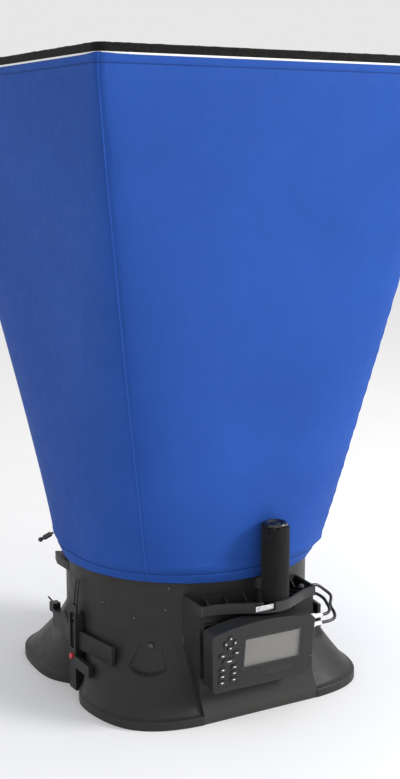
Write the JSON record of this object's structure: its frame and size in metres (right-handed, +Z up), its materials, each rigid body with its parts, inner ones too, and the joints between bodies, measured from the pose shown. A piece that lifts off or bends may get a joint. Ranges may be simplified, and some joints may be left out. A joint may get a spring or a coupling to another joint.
{
  "type": "air flow capture hood",
  "caption": "Fabric air-volume capture hood on a square frame over a moulded base with a tilting keypad meter, foam grips and side latches.",
  "frame": {"origin": "on the floor, under the middle of the square hood frame", "axes": "+Z up to the hood's mouth, -Y towards the side with the meter, +X to the right as the meter is read"},
  "size_m": [0.61, 0.61, 1.016],
  "materials": {
    "base_shell": "fine moulded texture, satin",
    "housing": "fine moulded texture, satin",
    "collar": "satin",
    "post": "satin",
    "screw_steel": "blackened",
    "arm_metal": "satin",
    "tube": "smooth",
    "fitting": "moulded",
    "connector": "moulded",
    "grip_core": "gloss",
    "grip_foam": "foam, pitted",
    "grip_cap": "gloss",
    "fabric": "coated woven nylon",
    "elastic": "braided",
    "frame_metal": "satin, white",
    "frame_corner": "satin",
    "gasket_foam": "open-cell foam",
    "pole": "fibreglass",
    "toggle": "gloss",
    "meter_case": "fine texture, satin",
    "meter_back": "fine texture",
    "window": "clear",
    "display": "matt grey-green",
    "board": "solder mask",
    "battery": "satin",
    "label": "gloss",
    "catch": "polished",
    "latch": "satin",
    "button_red": "gloss",
    "key": "silicone, white marks"
  },
  "bodies": {
    "base": {"base_front_half": "base_shell", "base_rear_half": "base_shell", "hood_collar": "collar", "front_housing": "housing", "rear_housing": "housing", "pole_sockets": "collar", "base_screws": "screw_steel", "left_post": "post", "right_post": "post", "left_bracket": "post", "right_bracket": "post", "manifold_hub": "collar", "manifold_arms": "arm_metal", "high_tube": "tube", "low_tube": "tube", "tube_bulkheads": "fitting", "front_grip_core": "grip_core", "front_grip_foam": "grip_foam", "front_grip_cap": "grip_cap", "rear_grip_core": "grip_core", "rear_grip_foam": "grip_foam", "rear_grip_cap": "grip_cap", "hood_rear_panel": "fabric", "hood_left_panel": "fabric", "hood_front_panel": "fabric", "hood_right_panel": "fabric", "hood_elastic": "elastic", "frame_rails": "frame_metal", "frame_corners": "frame_corner", "foam_gasket": "gasket_foam", "support_poles": "pole", "pole_ferrules": "arm_metal", "cord_lock": "toggle", "hood_clips": "post", "meter_hinge_pin": "screw_steel"},
    "meter": {"meter_front_case": "meter_case", "meter_rear_case": "meter_back", "lcd_window": "window", "lcd_panel": "display", "circuit_board": "board", "batteries": "battery", "battery_door": "meter_back", "meter_label": "label", "pressure_ports": "fitting", "tube_connectors": "connector"},
    "catch": {"meter_catch": "catch"},
    "left_latch_lever": {"left_latch": "latch"},
    "right_latch_lever": {"right_latch": "latch"},
    "left_release": {"left_button": "button_red"},
    "right_release": {"right_button": "button_red"},
    "key_up_cap": {"key_up": "key"},
    "key_right_cap": {"key_right": "key"},
    "key_down_cap": {"key_down": "key"},
    "key_left_cap": {"key_left": "key"},
    "key_top_left_cap": {"key_top_left": "key"},
    "key_top_right_cap": {"key_top_right": "key"},
    "key_wide_cap": {"key_wide": "key"},
    "key_1_left_cap": {"key_1_left": "key"},
    "key_1_right_cap": {"key_1_right": "key"},
    "key_2_left_cap": {"key_2_left": "key"},
    "key_2_right_cap": {"key_2_right": "key"},
    "key_3_left_cap": {"key_3_left": "key"},
    "key_3_right_cap": {"key_3_right": "key"}
  },
  "joints": [
    {"name": "meter_tilt", "type": "hinge", "parent": "base", "child": "meter", "pos_m": [-0.014, -0.228, 0.066], "axis": [1, 0, 0], "range_deg": [0, 20], "deforming": ["high_tube", "low_tube"]},
    {"name": "catch_slide", "type": "slide", "parent": "base", "child": "catch", "axis": [0, 0, 1], "range_m": [0, 0.003], "stiffness_N_per_m": 400},
    {"name": "left_latch_hinge", "type": "hinge", "parent": "base", "child": "left_latch_lever", "pos_m": [-0.2157, -0.012, 0.12], "axis": [0, -1, 0], "range_deg": [0, 70]},
    {"name": "right_latch_hinge", "type": "hinge", "parent": "base", "child": "right_latch_lever", "pos_m": [0.2157, -0.012, 0.12], "axis": [0, 1, 0], "range_deg": [0, 70]},
    {"name": "left_button_slide", "type": "slide", "parent": "base", "child": "left_release", "axis": [1, 0, 0], "range_m": [0, 0.0025], "stiffness_N_per_m": 400},
    {"name": "right_button_slide", "type": "slide", "parent": "base", "child": "right_release", "axis": [-1, 0, 0], "range_m": [0, 0.0025], "stiffness_N_per_m": 400},
    {"name": "key_up_press", "type": "slide", "parent": "meter", "child": "key_up_cap", "axis": [0, 0.9925, 0.1219], "range_m": [0, 0.0008], "stiffness_N_per_m": 500},
    {"name": "key_right_press", "type": "slide", "parent": "meter", "child": "key_right_cap", "axis": [0, 0.9925, 0.1219], "range_m": [0, 0.0008], "stiffness_N_per_m": 500},
    {"name": "key_down_press", "type": "slide", "parent": "meter", "child": "key_down_cap", "axis": [0, 0.9925, 0.1219], "range_m": [0, 0.0008], "stiffness_N_per_m": 500},
    {"name": "key_left_press", "type": "slide", "parent": "meter", "child": "key_left_cap", "axis": [0, 0.9925, 0.1219], "range_m": [0, 0.0008], "stiffness_N_per_m": 500},
    {"name": "key_top_left_press", "type": "slide", "parent": "meter", "child": "key_top_left_cap", "axis": [0, 0.9925, 0.1219], "range_m": [0, 0.0008], "stiffness_N_per_m": 500},
    {"name": "key_top_right_press", "type": "slide", "parent": "meter", "child": "key_top_right_cap", "axis": [0, 0.9925, 0.1219], "range_m": [0, 0.0008], "stiffness_N_per_m": 500},
    {"name": "key_wide_press", "type": "slide", "parent": "meter", "child": "key_wide_cap", "axis": [0, 0.9925, 0.1219], "range_m": [0, 0.0008], "stiffness_N_per_m": 500},
    {"name": "key_1_left_press", "type": "slide", "parent": "meter", "child": "key_1_left_cap", "axis": [0, 0.9925, 0.1219], "range_m": [0, 0.0008], "stiffness_N_per_m": 500},
    {"name": "key_1_right_press", "type": "slide", "parent": "meter", "child": "key_1_right_cap", "axis": [0, 0.9925, 0.1219], "range_m": [0, 0.0008], "stiffness_N_per_m": 500},
    {"name": "key_2_left_press", "type": "slide", "parent": "meter", "child": "key_2_left_cap", "axis": [0, 0.9925, 0.1219], "range_m": [0, 0.0008], "stiffness_N_per_m": 500},
    {"name": "key_2_right_press", "type": "slide", "parent": "meter", "child": "key_2_right_cap", "axis": [0, 0.9925, 0.1219], "range_m": [0, 0.0008], "stiffness_N_per_m": 500},
    {"name": "key_3_left_press", "type": "slide", "parent": "meter", "child": "key_3_left_cap", "axis": [0, 0.9925, 0.1219], "range_m": [0, 0.0008], "stiffness_N_per_m": 500},
    {"name": "key_3_right_press", "type": "slide", "parent": "meter", "child": "key_3_right_cap", "axis": [0, 0.9925, 0.1219], "range_m": [0, 0.0008], "stiffness_N_per_m": 500}
  ]
}
